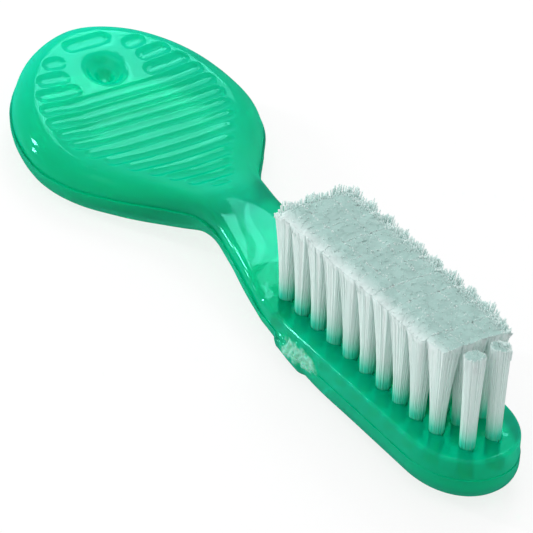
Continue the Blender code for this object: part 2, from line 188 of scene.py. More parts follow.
# %% Soft boxes
def soft_box(name, turn, height, far, width, tall, brightness):
    """A studio lamp that faces the brush, from a compass turn and a height in degrees."""
    lamp = bpy.data.lights.new(name, "AREA")
    lamp.shape = "RECTANGLE"
    lamp.size = 2 * far * math.tan(math.radians(width / 2))
    lamp.size_y = 2 * far * math.tan(math.radians(tall / 2))
    lamp.energy = brightness * math.pi * lamp.size * lamp.size_y
    flat = math.cos(math.radians(height))
    place = Vector((math.cos(math.radians(turn)) * flat, math.sin(math.radians(turn)) * flat,
                    math.sin(math.radians(height)))) * far
    made = bpy.data.objects.new(name, lamp)
    made.location = place
    made.rotation_euler = (-place).to_track_quat("-Z", "Y").to_euler()
    bpy.context.scene.collection.objects.link(made)


soft_box("soft_box_behind", 131, 51, 0.7, 13, 18, 6.0)
soft_box("soft_box_between", 144, 51, 0.7, 9, 18, 3.5)
soft_box("soft_box_behind_left", 157, 60, 0.7, 7, 8, 9)
soft_box("soft_box_high", 120, 61, 0.7, 7, 6, 3.5)
soft_box("spark_high", -139, 24, 0.7, 3.5, 12, 70)
soft_box("spark_low", -134, 4, 0.7, 3.5, 10, 70)
soft_box("soft_box_overhead", -60, 72, 0.8, 40, 40, 1.0)

# %% [markdown]
# ## Sizes of the moulding
#
# The moulding repeats the sizes of the solid model, in line with the head, so the two shapes agree. x
# runs from the last row of tufts, and z from the face of the head.

# %% Sizes
tip_reach, tip_round_length, head_half_width, head_thickness = 6.65, 7.4, 5.75, 4.95
tip_roundness, tip_steps = 2.1, 12
row_count, tuft_pitch, row_spacing, last_row_spacing = 10, 2.864, 2.94, 2.62
tip_tuft_ahead, tip_tuft_y = 3.504, 1.52
handle_reach, neck_half_width, neck_rise, neck_crown = 47.93, 4.12, 3.05, 0.35
paddle_half_width, top_edge_reach, under_edge_reach, under_edge_height = 13.1, 2.8, 3.1, 2.9
parting_ledge, least_wall = 0.08, 0.12
tip_spine_share, far_spine_share, far_spine_start = 0.3, 0.4, 0.738

outline_field_shares = [0.645, 0.315, 0.154]
outline_handle_shares = [0.004, 0.089, 0.175, 0.261, 0.326, 0.391, 0.476, 0.563, 0.648, 0.735, 0.821,
                         0.896, 0.954, 1]
head_width_shares = np.array([1, 1.005, 0.997, 0.962])
neck_width_shares = np.array([1.25, 1.0875, 1, 1.1125])
paddle_width_shares = np.array([0.4615, 0.6885, 0.9038, 1, 0.9885, 0.8962, 0.7192, 0.4885, 0])
top_field_shares = [1.25, 0.218, 0.063]
top_handle_shares = [0.008, 0.0455, 0.083, 0.175, 0.261, 0.317, 0.373, 0.4335, 0.541, 0.648, 0.756,
                     0.863, 1.01]
top_rise_shares = np.array([0, 0, 0, 0, 0.148, 0.328, 0.639, 0.918, 1, 0.89, 0.775, 0.72, 0.865, 1.16,
                            1.56, 2.09])
depth_field_shares = [1.25, 0.606, 0.334, 0.195]
depth_handle_shares = [0.004, 0.089, 0.175, 0.261, 0.348, 0.4335, 0.541, 0.648, 0.756, 0.863, 1.01]
thickness_shares = [1, 1, 0.98, 0.895, 0.7, 0.69, 0.66, 0.69, 0.89, 0.99, 1.05, 1.1, 1.15, 1.2, 1.27]
parting_height_shares = [0.536, 0.536, 0.531, 0.512, 0.544, 0.554, 0.5385, 0.529, 0.535, 0.551, 0.577,
                         0.547, 0.505, 0.461, 0.423]
edge_field_shares, edge_handle_shares = [1.25, 0.063], [0.091, 0.261, 0.373, 0.476, 0.563, 1.01]
top_edge_shares = [0.161, 0.179, 0.321, 0.393, 0.607, 0.893, 0.946, 1]
under_edge_shares = [0.532, 0.532, 0.516, 0.532, 0.677, 0.903, 1, 1]
under_edge_height_shares = [0.672, 0.672, 0.586, 0.655, 0.759, 0.931, 1, 0.931]
crown_field_shares, crown_handle_shares = [1.25], [0.008, 0.112, 0.217, 0.321, 0.404, 1.01]
crown_shares = [0, 0, 0.7, 1, 0.6, 0, 0]

field_length = (row_count - 1) * tuft_pitch
first_tuft_x = -field_length
far_end_x = first_tuft_x - handle_reach
tip_round_start_x = tip_reach - tip_round_length
far_spine_start_x = first_tuft_x - handle_reach * far_spine_start
print("brush from", round(far_end_x, 2), "to", tip_reach, "mm, in line with the head")


# %% Curves through the sizes
def smooth_through(stations, values, at):
    """Cubic curve through the given stations, with slopes from the neighbouring stations."""
    order = np.argsort(stations)
    xs, ys = np.asarray(stations)[order], np.asarray(values)[order]
    slopes = np.gradient(ys, xs)
    flat = np.zeros(len(xs), bool)
    flat[1:-1] = (ys[1:-1] == ys[:-2]) | (ys[1:-1] == ys[2:])
    slopes[flat] = 0
    at = np.clip(at, xs[0], xs[-1])
    i = np.clip(np.searchsorted(xs, at) - 1, 0, len(xs) - 2)
    step = xs[i + 1] - xs[i]
    t = (at - xs[i]) / step
    return ((2 * t ** 3 - 3 * t ** 2 + 1) * ys[i] + (t ** 3 - 2 * t ** 2 + t) * step * slopes[i]
            + (3 * t ** 2 - 2 * t ** 3) * ys[i + 1] + (t ** 3 - t ** 2) * step * slopes[i + 1])


def stations(field_shares, handle_shares):
    """Places along X: shares of the tuft field from its first row, then shares of the handle beyond it."""
    return np.r_[first_tuft_x + field_length * np.array(field_shares),
                 first_tuft_x - handle_reach * np.array(handle_shares)]


top_x = stations(top_field_shares, top_handle_shares)
depth_x = stations(depth_field_shares, depth_handle_shares)
edge_x = stations(edge_field_shares, edge_handle_shares)
crown_x = stations(crown_field_shares, crown_handle_shares)


def top_height(x):
    return neck_rise * smooth_through(top_x, top_rise_shares, x)


def under_height(x):
    return top_height(x) - head_thickness * smooth_through(depth_x, thickness_shares, x)


along_brush = np.linspace(far_end_x, tip_reach, 200)
print("the moulding lies from", round(float(under_height(along_brush).min()), 2), "to",
      round(float(top_height(along_brush).max()), 2), "mm")


# %% [markdown]
# ## Outline of the moulding
#
# Seen from above, the moulding is a rounded tip, two nearly straight sides, a waist at the neck and an
# egg. A spline in the editor could give it. Here the same curve as the solid's is walked in fine steps,
# and the steps are finer still where the torn gate will stand. The spine is the line that the underside
# is laid from, shorter than the outline at both ends.

# %% Outline
tip_points, side_points, glance = 300, 3000, 0.05
angle = np.linspace(0, math.pi / 2, tip_points)
tip_px = tip_round_start_x + tip_round_length * np.cos(angle) ** (2 / tip_roundness)
tip_py = head_half_width * np.sin(angle) ** (2 / tip_roundness)
before_last = math.pi / 2 * (tip_steps - 1) / tip_steps
side_x = stations(outline_field_shares, outline_handle_shares)
side_y = np.r_[head_half_width * head_width_shares, neck_half_width * neck_width_shares,
               paddle_half_width * paddle_width_shares]
run_x = np.r_[tip_round_start_x + tip_round_length * math.cos(before_last) ** (2 / tip_roundness),
              tip_round_start_x, side_x, side_x[-2]]
run_y = np.r_[head_half_width * math.sin(before_last) ** (2 / tip_roundness), head_half_width, side_y,
              -side_y[-2]]
travel = np.r_[0, np.cumsum(np.hypot(np.diff(run_x), np.diff(run_y)))]
walk = np.linspace(travel[1], travel[-2], side_points)[1:]
dense_x = np.r_[tip_px, smooth_through(travel, run_x, walk)]
dense_y = np.r_[tip_py, smooth_through(travel, run_y, walk)]
dense_s = np.r_[0, np.cumsum(np.hypot(np.diff(dense_x), np.diff(dense_y)))]

coarse_step, fine_step = 0.34, 0.13
gate_from, gate_to = first_tuft_x + 1.8, first_tuft_x + 10.6
marks = [0.0]
while marks[-1] < dense_s[-1]:
    here = np.interp(marks[-1], dense_s, dense_x)
    marks.append(marks[-1] + (fine_step if gate_from < here < gate_to else coarse_step))
marks = np.array(marks[:-1] + [dense_s[-1]])
out_x, out_y = np.interp(marks, dense_s, dense_x), np.interp(marks, dense_s, dense_y)
out_y[0] = out_y[-1] = 0
ahead = np.clip(marks + glance, 0, dense_s[-1])
behind = np.clip(marks - glance, 0, dense_s[-1])
along_x = np.interp(ahead, dense_s, dense_x) - np.interp(behind, dense_s, dense_x)
along_y = np.interp(ahead, dense_s, dense_y) - np.interp(behind, dense_s, dense_y)
along_x[0] = along_x[-1] = 0
length = np.hypot(along_x, along_y)
normal_x, normal_y = along_y / length, -along_x / length
spine_x = np.where(out_x > tip_round_start_x,
                   tip_round_start_x + (out_x - tip_round_start_x) * tip_spine_share, out_x)
spine_x = np.where(out_x < far_spine_start_x,
                   far_spine_start_x + (out_x - far_spine_start_x) * far_spine_share, spine_x)
width_order = np.argsort(out_x)
print("outline steps on each side:", len(marks))


def outline_half_width(x):
    return np.interp(x, out_x[width_order], out_y[width_order])


def inset(distance):
    """Outline points moved inwards along their plan normals."""
    return out_x - normal_x * distance, np.maximum(out_y - normal_y * distance, 0)


# %% [markdown]
# ## The moulding's walls
#
# The two halves of a mould meet in a parting line, and the lower half leaves a fine uneven edge of
# flash. The upper half is a little smaller, which leaves a fine step all round the handle. A bevel and
# a Boolean could cut these. Here the walls are lofted: each step of the outline carries the same column
# of points, from the middle of the underside, round the lower edge, past the parting line, up the side
# and over the rim, so that flash and step are rows of their own.

# %% Sizes round the outline
def parting_at(x):
    """Height of the line where the two halves of the mould meet."""
    share = smooth_through(depth_x, parting_height_shares, x)
    return under_height(x) + share * (top_height(x) - under_height(x))


top_run = top_edge_reach * smooth_through(edge_x, top_edge_shares, out_x)
low_run = under_edge_reach * smooth_through(edge_x, under_edge_shares, out_x)
low_rise = under_edge_height * smooth_through(edge_x, under_edge_height_shares, out_x)
part_z = parting_at(out_x)
low_x, low_y = inset(low_run)
low_z = under_height(low_x)
low_turn = np.minimum(low_rise, part_z - low_z - least_wall)
in_x, in_y = inset(top_run)
in_z = top_height(in_x)
drop = np.minimum(top_run, in_z - part_z - least_wall)
head_step, more_handle_step = 0.03, 0.14
halves_step = head_step + more_handle_step * np.clip((first_tuft_x + 1 - out_x) / 4, 0, 1)
plain_ledge, ledge_height, lip_rise, step_rise = parting_ledge * 0.6, 0.05, 0.012, 0.02
under_rows, arc_rows, lower_rows, upper_rows = 6, 10, 6, 13
rim_turn, rim_power = math.radians(60), 2.2
inner_order = np.argsort(in_x)
print("the rim is rounded over", round(float(top_run.min()), 2), "to", round(float(top_run.max()), 2), "mm")


# %% Rim and flash
def rim_fall(out):
    """How far the rim has fallen, as a share, where `out` goes from 0 on the face to 1 at the wall."""
    return 1 - (1 - np.minimum(out, 1) ** rim_power) ** (1 / rim_power)


def level_at(x, y):
    """Height of the upper face at a plan point, with the crown of the neck."""
    half = np.maximum(np.interp(x, in_x[inner_order], in_y[inner_order]), least_wall)
    crown = neck_crown * smooth_through(crown_x, crown_shares, x)
    return top_height(x) + crown * (1 - np.minimum(np.abs(y) / half, 1.6) ** 2)


def rim_height(x, y, out, top, fall):
    """Height of the rounded rim, which leaves the face without a crease."""
    return top + (level_at(x, y) - top) * (1 - out) ** 2 - fall * rim_fall(out)


def flash(side):
    """Width of the flash along the parting line: mostly thin, with a fine uneven edge."""
    wide = np.array([noise.noise((x * 0.35, y * 0.35, side * 7.0)) for x, y in zip(out_x, out_y)])
    fine = np.array([noise.noise((x * 2.6, y * 2.6, side * 3.0)) for x, y in zip(out_x, out_y)])
    width = parting_ledge * np.clip(0.75 + 0.9 * wide + 0.35 * fine, 0.15, 1.0)
    width[0] = width[-1] = plain_ledge
    return width


print("flash up to", parting_ledge, "mm wide")


# %% Columns of both walls
def wall_rows(side):
    """All the columns of one side, as rows of (x, y, z)."""
    ledge = flash(side)
    rows = []
    for step in range(under_rows):
        share = step / under_rows
        x = spine_x + (low_x - spine_x) * share
        rows.append((x, low_y * share, under_height(x)))
    for step in range(arc_rows + 1):
        turn = math.pi / 2 * step / arc_rows
        x, y = inset(low_run * (1 - math.sin(turn)) - plain_ledge)
        rows.append((x, y, low_z + low_turn * (1 - math.cos(turn))))
    arc_top = low_z + low_turn
    for step in range(1, lower_rows):
        x, y = inset(-plain_ledge)
        rows.append((x, y, arc_top + (part_z - ledge_height - arc_top) * step / lower_rows))
    for reach, lift in ((ledge, -ledge_height), (ledge, 0.0), (ledge * 0.3, lip_rise),
                        (-halves_step, step_rise)):
        x, y = inset(-reach)
        rows.append((x, y, part_z + lift))
    wall_top = in_z - drop
    for step in range(upper_rows):
        share = (step + 0.4) / upper_rows
        x, y = inset(halves_step)
        rows.append((x, y, part_z + step_rise + (wall_top - part_z - step_rise) * share))
    for step in range(arc_rows + 1):
        turn = rim_turn * step / arc_rows
        x, y = inset(halves_step + (top_run - halves_step) * (1 - math.cos(turn)))
        rows.append((x, y, rim_height(x, y, math.cos(turn), in_z, drop)))
    grid = np.array([np.stack(r, 1) for r in rows])
    grid[:, 0, 1] = grid[:, -1, 1] = 0
    grid[:, :, 1] *= side
    return grid


far_wall, near_wall = wall_rows(1), wall_rows(-1)
print("rows in each column:", len(far_wall))

# %% [markdown]
# ## The torn gate
#
# Where the plastic was fed in, the runner was broken off and left a rough, stress-whitened scar. It could
# be sculpted, or joined on as a lump. Here the near wall is pushed out, which leaves no seam: a smooth
# swelling of the lower half, and beside it a torn patch with fractal noise. How torn each point is goes
# along as a number, which the finish reads later.


# %% Push the near wall out at the gate
def rise_and_fall(value, low, high, soft):
    """1 between low and high, falling softly to 0 outside."""
    up = np.clip((value - low) / soft + 0.5, 0, 1)
    down = np.clip((high - value) / soft + 0.5, 0, 1)
    return (up * up * (3 - 2 * up)) * (down * down * (3 - 2 * down))


gate_x = first_tuft_x + 6.4
swell_height, least_torn, torn_height, torn_grain, most_torn, most_proud = 0.4, 0.02, 0.16, 0.22, 0.4, 0.7
gx, gz = near_wall[:, :, 0], near_wall[:, :, 2]
ragged = np.array([[noise.fractal((x * 0.9, z * 0.9, 3.0), 1.0, 2.0, 4) for x, z in zip(rx, rz)]
                   for rx, rz in zip(gx, gz)])
rough = np.array([[noise.fractal((x * 2.4, z * 2.4, 9.0), 0.8, 2.1, 5) for x, z in zip(rx, rz)]
                  for rx, rz in zip(gx, gz)])
on_wall = near_wall[:, :, 1] < -head_half_width * 0.75
swell = rise_and_fall(gx, gate_x - 3.9, gate_x + 0.6, 0.9) * rise_and_fall(gz, -4.6, -1.9, 0.7)
torn = rise_and_fall(gx + ragged * 1.2, gate_x - 2.4, gate_x + 3.6, 2.4)
torn = torn * rise_and_fall(gz + ragged * 0.7, -2.7, -1.0, 1.1) * on_wall
scar = torn * np.clip(torn_height + torn_grain * rough, least_torn, most_torn)
proud = np.minimum(swell * swell_height * on_wall + scar, most_proud)
near_wall[:, :, 0] += normal_x * proud
near_wall[:, :, 1] -= normal_y * proud
print("gate stands", round(float(proud.max()), 2), "mm proud")

# %% [markdown]
# ## The moulding's face
#
# The upper face carries the finger grooves, a stepped round dimple, the bore of every tuft and the slits
# that the anchors cut. Booleans would leave hard, unevenly shaded edges. Instead the plan is triangulated
# along nested contours of each feature, and each contour has its own depth, which gives soft edges. The
# thumb panel also lies in a shallow dish, and the head's face has the slight waves of plastic that sank
# a little as it cooled.

# %% Features of the face
groove_pitch, land_width = 1.941, 0.391
groove_width = groove_pitch - land_width
first_groove_x = far_end_x + 11.5
groove_length_shares = [0.773, 0.776, 0.757, 0.736, 0.713, 0.664, 0.611, 0.552, 0.5, 0.439]
split_groove_length_shares = [0.756, 0.714, 0.617]
end_groove_x = first_groove_x - 7.45
end_groove_length_share = 0.32
dimple_x = first_groove_x - 3.55
dimple_clear_radius = 4.25
groove_profile = [(-0.18, 0.0), (-0.13, -0.01), (-0.06, -0.028), (0.04, -0.056), (0.16, -0.088),
                  (0.3, -0.118), (0.46, -0.14), (0.64, -0.15)]
dimple_profile = [(2.6, 0.0), (2.48, -0.01), (2.36, -0.03), (2.24, -0.06), (2.12, -0.1), (2.0, -0.16),
                  (1.88, -0.26), (1.74, -0.4), (1.6, -0.52), (1.45, -0.6), (1.3, -0.65), (1.16, -0.69),
                  (1.04, -0.76), (0.92, -0.89), (0.78, -1.12), (0.6, -1.32), (0.38, -1.43), (0.18, -1.46)]
hole_profile = [(0.05, 0.0), (0.0, -0.03), (-0.03, -0.2), (-0.06, -3.05)]
hole_radius, wing_reach, wing_half = 0.81, 1.1, 0.13
dish_x, dish_depths, dish_slope = [-71, -60, -50, -43, -40], [0.45, 0.45, 0.32, 0.12, 0.0], 6.5
sink_depth, sink_grain = 0.14, 0.8
print("grooves", groove_width, "mm wide and dimple", -dimple_profile[-1][1], "mm deep")


# %% Outlines of the features
def pill(x, y_from, y_to, half_width, turns=8, step=0.5):
    """Plan points of a bar along Y with round ends and evenly stepped sides."""
    half_width = min(half_width, (y_to - y_from) / 2 - 0.01)
    low, high = y_from + half_width, y_to - half_width
    straight = max(1, int((high - low) / step))
    points = [(x + half_width, low + (high - low) * k / straight) for k in range(straight)]
    bend = [(half_width * math.cos(math.pi * k / turns), half_width * math.sin(math.pi * k / turns))
            for k in range(turns)]
    points += [(x + across, high + up) for across, up in bend]
    points += [(x - half_width, high - (high - low) * k / straight) for k in range(straight)]
    points += [(x - across, low - up) for across, up in bend]
    return points


def round_hole(x, y, radius, sides=48):
    """Plan points of a circle."""
    turns = [2 * math.pi * k / sides for k in range(sides)]
    return [(x + radius * math.cos(turn), y + radius * math.sin(turn)) for turn in turns]


def winged_hole(x, y, grow):
    """A bore with the two slits that its anchor cuts, all grown outwards by some distance."""
    radius, reach, half = hole_radius + grow, wing_reach + grow, wing_half + grow
    root = math.asin(half / radius)
    points = []
    for start, sign in ((0, 1), (math.pi, -1)):
        points += [(x + sign * reach, y - sign * half), (x + sign * reach, y + sign * half)]
        points += [(x + radius * math.cos(t), y + radius * math.sin(t))
                   for t in np.linspace(start + root, start + math.pi - root, 12)]
    return points


# %% Places of the tufts and grooves
tuft_spots = []
for i in range(row_count):
    x = first_tuft_x + i * tuft_pitch
    side = last_row_spacing if i == row_count - 1 else row_spacing
    tuft_spots += [(f"{row}_{i + 1:02d}", x, y) for row, y in (("near", -side), ("middle", 0), ("far", side))]
tuft_spots += [("tip_near", tip_tuft_ahead, -tip_tuft_y), ("tip_far", tip_tuft_ahead, tip_tuft_y)]

grooves = []
for i, share in enumerate(groove_length_shares):
    x = first_groove_x + i * groove_pitch
    half = share * float(outline_half_width(x))
    grooves.append((x, -half, half, groove_width))
grooves.append((first_groove_x + len(groove_length_shares) * groove_pitch, -1.0, 1.0, 0.9))
for i, share in enumerate(split_groove_length_shares):
    x = first_groove_x - (i + 1) * groove_pitch
    inner = math.sqrt(dimple_clear_radius ** 2 - (x - dimple_x) ** 2)
    outer = share * float(outline_half_width(x))
    grooves += [(x, inner, outer, groove_width), (x, -outer, -inner, groove_width)]
half = end_groove_length_share * float(outline_half_width(end_groove_x))
grooves.append((end_groove_x, -half, half, groove_width))
print(len(grooves), "grooves,", len(tuft_spots), "tufts")

# %% Contours, each with its depth
contours = []
for x, y_from, y_to, width in grooves:
    for inwards, depth in groove_profile:
        if width / 2 - inwards > 0.05:
            contours.append((pill(x, y_from + inwards, y_to - inwards, width / 2 - inwards), depth))
for radius, depth in dimple_profile:
    contours.append((round_hole(dimple_x, 0, radius), depth))
for _, x, y in tuft_spots:
    contours += [(winged_hole(x, y, grow), depth) for grow, depth in hole_profile]


def ring(turn):
    """Plan points all round the rim, where it has turned by some angle from upright to level."""
    x, y = inset(halves_step + (top_run - halves_step) * (1 - math.cos(turn)))
    y[0] = y[-1] = 0
    return list(zip(x, y)) + list(zip(x[-2:0:-1], -y[-2:0:-1]))


edge_loop = ring(rim_turn)


def clear_of_features(x, y, gap):
    """True where a free point of the face is away from every groove, dimple and bore."""
    for gx0, y0, y1, width in grooves:
        if abs(x - gx0) < width / 2 + gap and y0 - gap < y < y1 + gap:
            return False
    if math.hypot(x - dimple_x, y) < dimple_profile[0][0] + gap:
        return False
    if x > first_tuft_x - 2:
        return all(math.hypot((x - hx) * 0.8, y - hy) > hole_radius + 0.1 + gap for _, hx, hy in tuft_spots)
    return True


free_step, rim_gap, feature_gap = 0.55, 0.06, 0.14
free_points = [p for degrees in (67, 74, 82, 90) for p in ring(math.radians(degrees))
               if clear_of_features(*p, rim_gap)]
for row, x in enumerate(np.arange(far_end_x, tip_reach, free_step)):
    limit = float(np.interp(x, in_x[inner_order], in_y[inner_order])) - 0.25
    for y in np.arange(-paddle_half_width, paddle_half_width, free_step) + (row % 2) * free_step / 2:
        inside = abs(y) < limit and in_x.min() + 0.3 < x < in_x.max() - 0.3
        if inside and clear_of_features(x, y, feature_gap):
            free_points.append((x, y))
print(len(contours), "contours and", len(free_points), "free points")

# %% Triangulate the face
plan, depths, edges = [], [], []
for loop, depth in [(edge_loop, 0.0)] + contours:
    first = len(plan)
    plan += [Vector(p) for p in loop]
    depths += [depth] * len(loop)
    edges += [(first + k, first + (k + 1) % len(loop)) for k in range(len(loop))]
plan += [Vector(p) for p in free_points]
depths += [0.0] * len(free_points)
points, _, triangles, origins, _, _ = delaunay_2d_cdt(plan, edges, [], 1, 1e-5)
face_xy = np.array([(p.x, p.y) for p in points])
face_depth = np.array([depths[o[0]] if o else 0.0 for o in origins])
print(len(points), "points and", len(triangles), "triangles in the face")


# %% Heights of the face
def nearest_on_outline(xy):
    """For each plan point, its distance to the outline and how far along the outline that is."""
    ahead_x, ahead_y = np.gradient(dense_x), np.gradient(dense_y)
    stride = np.hypot(ahead_x, ahead_y)
    found = []
    for chunk in np.array_split(xy, 40):
        off_x, off_y = chunk[:, :1] - dense_x, np.abs(chunk[:, 1:]) - dense_y
        best = (off_x ** 2 + off_y ** 2).argmin(1)
        k = (np.arange(len(chunk)), best)
        along = (off_x[k] * ahead_x[best] + off_y[k] * ahead_y[best]) / stride[best]
        straight = np.sqrt(np.maximum(off_x[k] ** 2 + off_y[k] ** 2 - along ** 2, 0))
        found.append(np.column_stack([straight, dense_s[best] + along]))
    return np.vstack(found).T


to_outline, on_outline = nearest_on_outline(face_xy)
rim_run, rim_top, rim_drop, rim_step = (np.interp(on_outline, marks, v)
                                        for v in (top_run, in_z, drop, halves_step))
dish = np.interp(face_xy[:, 0], dish_x, dish_depths)
dish_share = np.clip((to_outline - (rim_run + rim_step) / 2) / dish_slope, 0, 1)
dish *= dish_share ** 2 * (3 - 2 * dish_share)
waves = np.array([noise.noise((x * sink_grain, y * sink_grain, 5.0)) for x, y in face_xy]) * sink_depth
waves *= np.clip(dish_share * 4, 0, 1)
waves *= rise_and_fall(face_xy[:, 0], first_tuft_x - 1.5, tip_tuft_ahead + 1.5, 1.5)
waves *= rise_and_fall(abs(face_xy[:, 1]), -9, 4.3, 1.2)
sunk = dish - waves
level = level_at(face_xy[:, 0], face_xy[:, 1]) - sunk
lean_in = np.clip(1 - (to_outline - rim_step) / (rim_run - rim_step), 0, 1)
rounded = rim_height(face_xy[:, 0], face_xy[:, 1], lean_in, rim_top, rim_drop)
plain_z = np.where(lean_in > 0, rounded - sunk, level)
face_z = np.where(face_depth < 0, np.minimum(plain_z, level + face_depth), plain_z)
face_verts = np.column_stack([face_xy, face_z])
print("the face lies from", round(float(face_z.min()), 2), "to", round(float(face_z.max()), 2), "mm")

# %% [markdown]
# ## One closed moulding
#
# The real moulding is one piece of plastic, so its mesh is closed too. The two walls and the face share
# their edge points, and merging these closes it, which is simpler and cleaner than a Boolean or a remesh.
# Every point also carries a painted glow, as a number for the finish: painted light at the paddle's far
# end and, less, on the neck and the head's face, and painted shade near the walls and below the parting line.

# %% Painted glow of each point
def painted_glow_at(xyz):
    """Painted light at the far end and the head's face, painted shade at the walls and below the parting
    line.
    """
    x, y, z = np.asarray(xyz).T
    along = np.interp(x, [-74, -71, -66, -60, -46, -36, -31, -27, -20, 7],
                      [1.0, 0.9, 0.7, 0.48, 0.46, 0.5, 0.5, 0.35, 0.37, 0.34])
    from_wall, _ = nearest_on_outline(np.column_stack([x, y]))
    # Painted shade near the walls of the handle.
    wall_shade = np.interp(from_wall, [0, 1.2, 3.5, 7], [0.66, 0.74, 1.0, 0.88])
    body = np.interp(x, [-27, -20], [1.0, 0.0])
    # Painted shade below the parting line, and painted light on the upper face of the head.
    above = np.clip((z - parting_at(x)) / 0.6 + 0.5, 0, 1)
    face = np.clip(1 + z - top_height(x), 0, 1) * (1 - body) * 0.12
    return np.clip(along * (1 - body * (1 - wall_shade)) * (1 - 0.12 * (1 - above)) + face, 0, 1)


painted_glow_share = np.concatenate([painted_glow_at(far_wall.reshape(-1, 3)), painted_glow_at(near_wall.reshape(-1, 3)),
                             painted_glow_at(face_verts)])
print("glow from", round(float(painted_glow_share.min()), 2), "to", round(float(painted_glow_share.max()), 2))

# %% Walls and face as one set of points
rows, steps = far_wall.shape[:2]
verts, faces, torn_share = [], [], []
for wall, mask in ((far_wall, np.zeros_like(torn)), (near_wall, torn)):
    base = len(verts)
    verts += [tuple(v) for v in wall.reshape(-1, 3)]
    torn_share += list(mask.reshape(-1))
    faces += [(base + r * steps + s, base + r * steps + s + 1, base + (r + 1) * steps + s + 1,
               base + (r + 1) * steps + s) for r in range(rows - 1) for s in range(steps - 1)]
base = len(verts)
verts += [tuple(v) for v in face_verts]
torn_share += [0.0] * len(face_verts)
faces += [tuple(base + i for i in t) for t in triangles]
print(len(verts), "points and", len(faces), "faces")


# %% Lay it down and close it
def put_in_scene(name, mesh, slot, *nodes):
    """Adds a piece that rides on the brush and stands for its solids."""
    piece = bpy.data.objects.new(name, mesh)
    bpy.context.scene.collection.objects.link(piece)
    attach(piece, "root")
    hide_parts(*nodes)


rest_slope, last_row_place = -2.918199, (0.033476, 0, 0.0057337)
slope_turn = Matrix.Rotation(math.radians(rest_slope), 4, "Y")
lay_down = Matrix.Translation(last_row_place) @ slope_turn @ Matrix.Scale(mm, 4)
handle_mesh = bpy.data.meshes.new("handle")
handle_mesh.from_pydata([tuple(lay_down @ Vector(v)) for v in verts], [], faces)
handle_mesh.attributes.new("torn", "FLOAT", "POINT").data.foreach_set("value", torn_share)
# The glow attribute carries this painted light and shade to the finish.
handle_mesh.attributes.new("glow", "FLOAT", "POINT").data.foreach_set("value", painted_glow_share)
work = bmesh.new()
work.from_mesh(handle_mesh)
bmesh.ops.remove_doubles(work, verts=work.verts, dist=1e-6)
bmesh.ops.dissolve_degenerate(work, edges=work.edges, dist=1e-8)
bmesh.ops.recalc_face_normals(work, faces=work.faces)
open_edges = sum(not e.is_manifold for e in work.edges)
work.to_mesh(handle_mesh)
work.free()
for polygon in handle_mesh.polygons:
    polygon.use_smooth = True
handle_mesh.set_sharp_from_angle(angle=math.radians(50))
put_in_scene("handle", handle_mesh, "emerald_translucent", "handle_moulding")
print("handle:", len(handle_mesh.polygons), "faces,", open_edges, "open edges")

# %% [markdown]
# ## Translucent green plastic
#
# The plastic is clear enough to glow but not to see through. Real glass with an absorbing volume is slow
# and noisy. So two shaders share the work: a milky one, where light scatters under the surface, and a
# clear one that bends light through as a frosted green glass does. Where the painted glow is high, the
# plastic is more milky and its colour is painted lighter, and where it is low, painted darker. A green-tinted
# gloss lies on top, kept weak at grazing angles so that the edges stay green, and the torn gate turns it all
# rough and whitish.

# %% Green plastic
plastic_ior, gloss_strength, most_gloss, most_clear = 1.45, 0.7, 0.08, 0.78
plastic = Finish(bpy.data.materials.new("emerald_translucent_plastic"))
cloud = plastic.noise(260, 3.0, 0.6)
torn_mask = plastic.node("ShaderNodeAttribute", {"attribute_name": "torn"}, output="Fac")
# The painted glow: painted light at the far end and the head's face, painted shade at the walls and low down.
painted_glow_mask = plastic.node("ShaderNodeAttribute", {"attribute_name": "glow"}, output="Fac")
crumbs = plastic.noise(2600, 4.0, 0.7)
whitened = plastic.ramp(torn_mask * (0.4 + crumbs * 1.2), 0.3, 1.1)
# Painted light and shade: the green is lighter where the painted glow is high and darker where it is low.
green = plastic.node("ShaderNodeValToRGB", {"stops": [
    (0.0, (0.0, 0.20, 0.11, 1)), (0.32, (0.0, 0.46, 0.24, 1)), (0.5, (0.0, 0.60, 0.36, 1)),
    (1.0, (0.0, 1.0, 0.62, 1))]}, {"Fac": painted_glow_mask + (cloud - 0.5) * 0.1})
colour = plastic.blend(whitened * 0.45, green, (0.62, 0.76, 0.74, 1))
height = plastic.node("ShaderNodeBump", {}, {"Strength": 0.15, "Distance": 0.00003,
                                             "Height": plastic.noise(900, 2.0, 0.5)})
milky = plastic.node("ShaderNodeBsdfPrincipled", {"subsurface_method": "RANDOM_WALK"}, {
    "Base Color": colour, "Roughness": 0.5, "IOR": plastic_ior, "Specular IOR Level": 0.0,
    "Subsurface Weight": 1.0, "Subsurface Radius": (0.25, 1.0, 0.8), "Subsurface Scale": 0.0015,
    "Normal": height})
clear = plastic.node("ShaderNodeBsdfRefraction", {}, {
    "Color": (0.0, 0.77, 0.51, 1), "Roughness": 0.35, "IOR": 1.15, "Normal": height})
body = plastic.node("ShaderNodeMixShader", {}, {
    0: most_clear - painted_glow_mask * 0.4 - whitened * 0.4, 1: milky, 2: clear})
gloss = plastic.node("ShaderNodeBsdfGlossy", {}, {
    "Color": (0.22, 1.0, 0.9, 1), "Roughness": 0.06 + whitened * 0.4, "Normal": height})
mirror = plastic.node("ShaderNodeFresnel", {}, {"IOR": plastic_ior, "Normal": height}) * gloss_strength
share = mirror.maths("MINIMUM", mirror, most_gloss)
handle_mesh.materials.append(plastic.close(
    plastic.node("ShaderNodeMixShader", {}, {0: share, 1: body, 2: gloss})))
print("plastic made with", len(plastic.tree.nodes), "nodes")

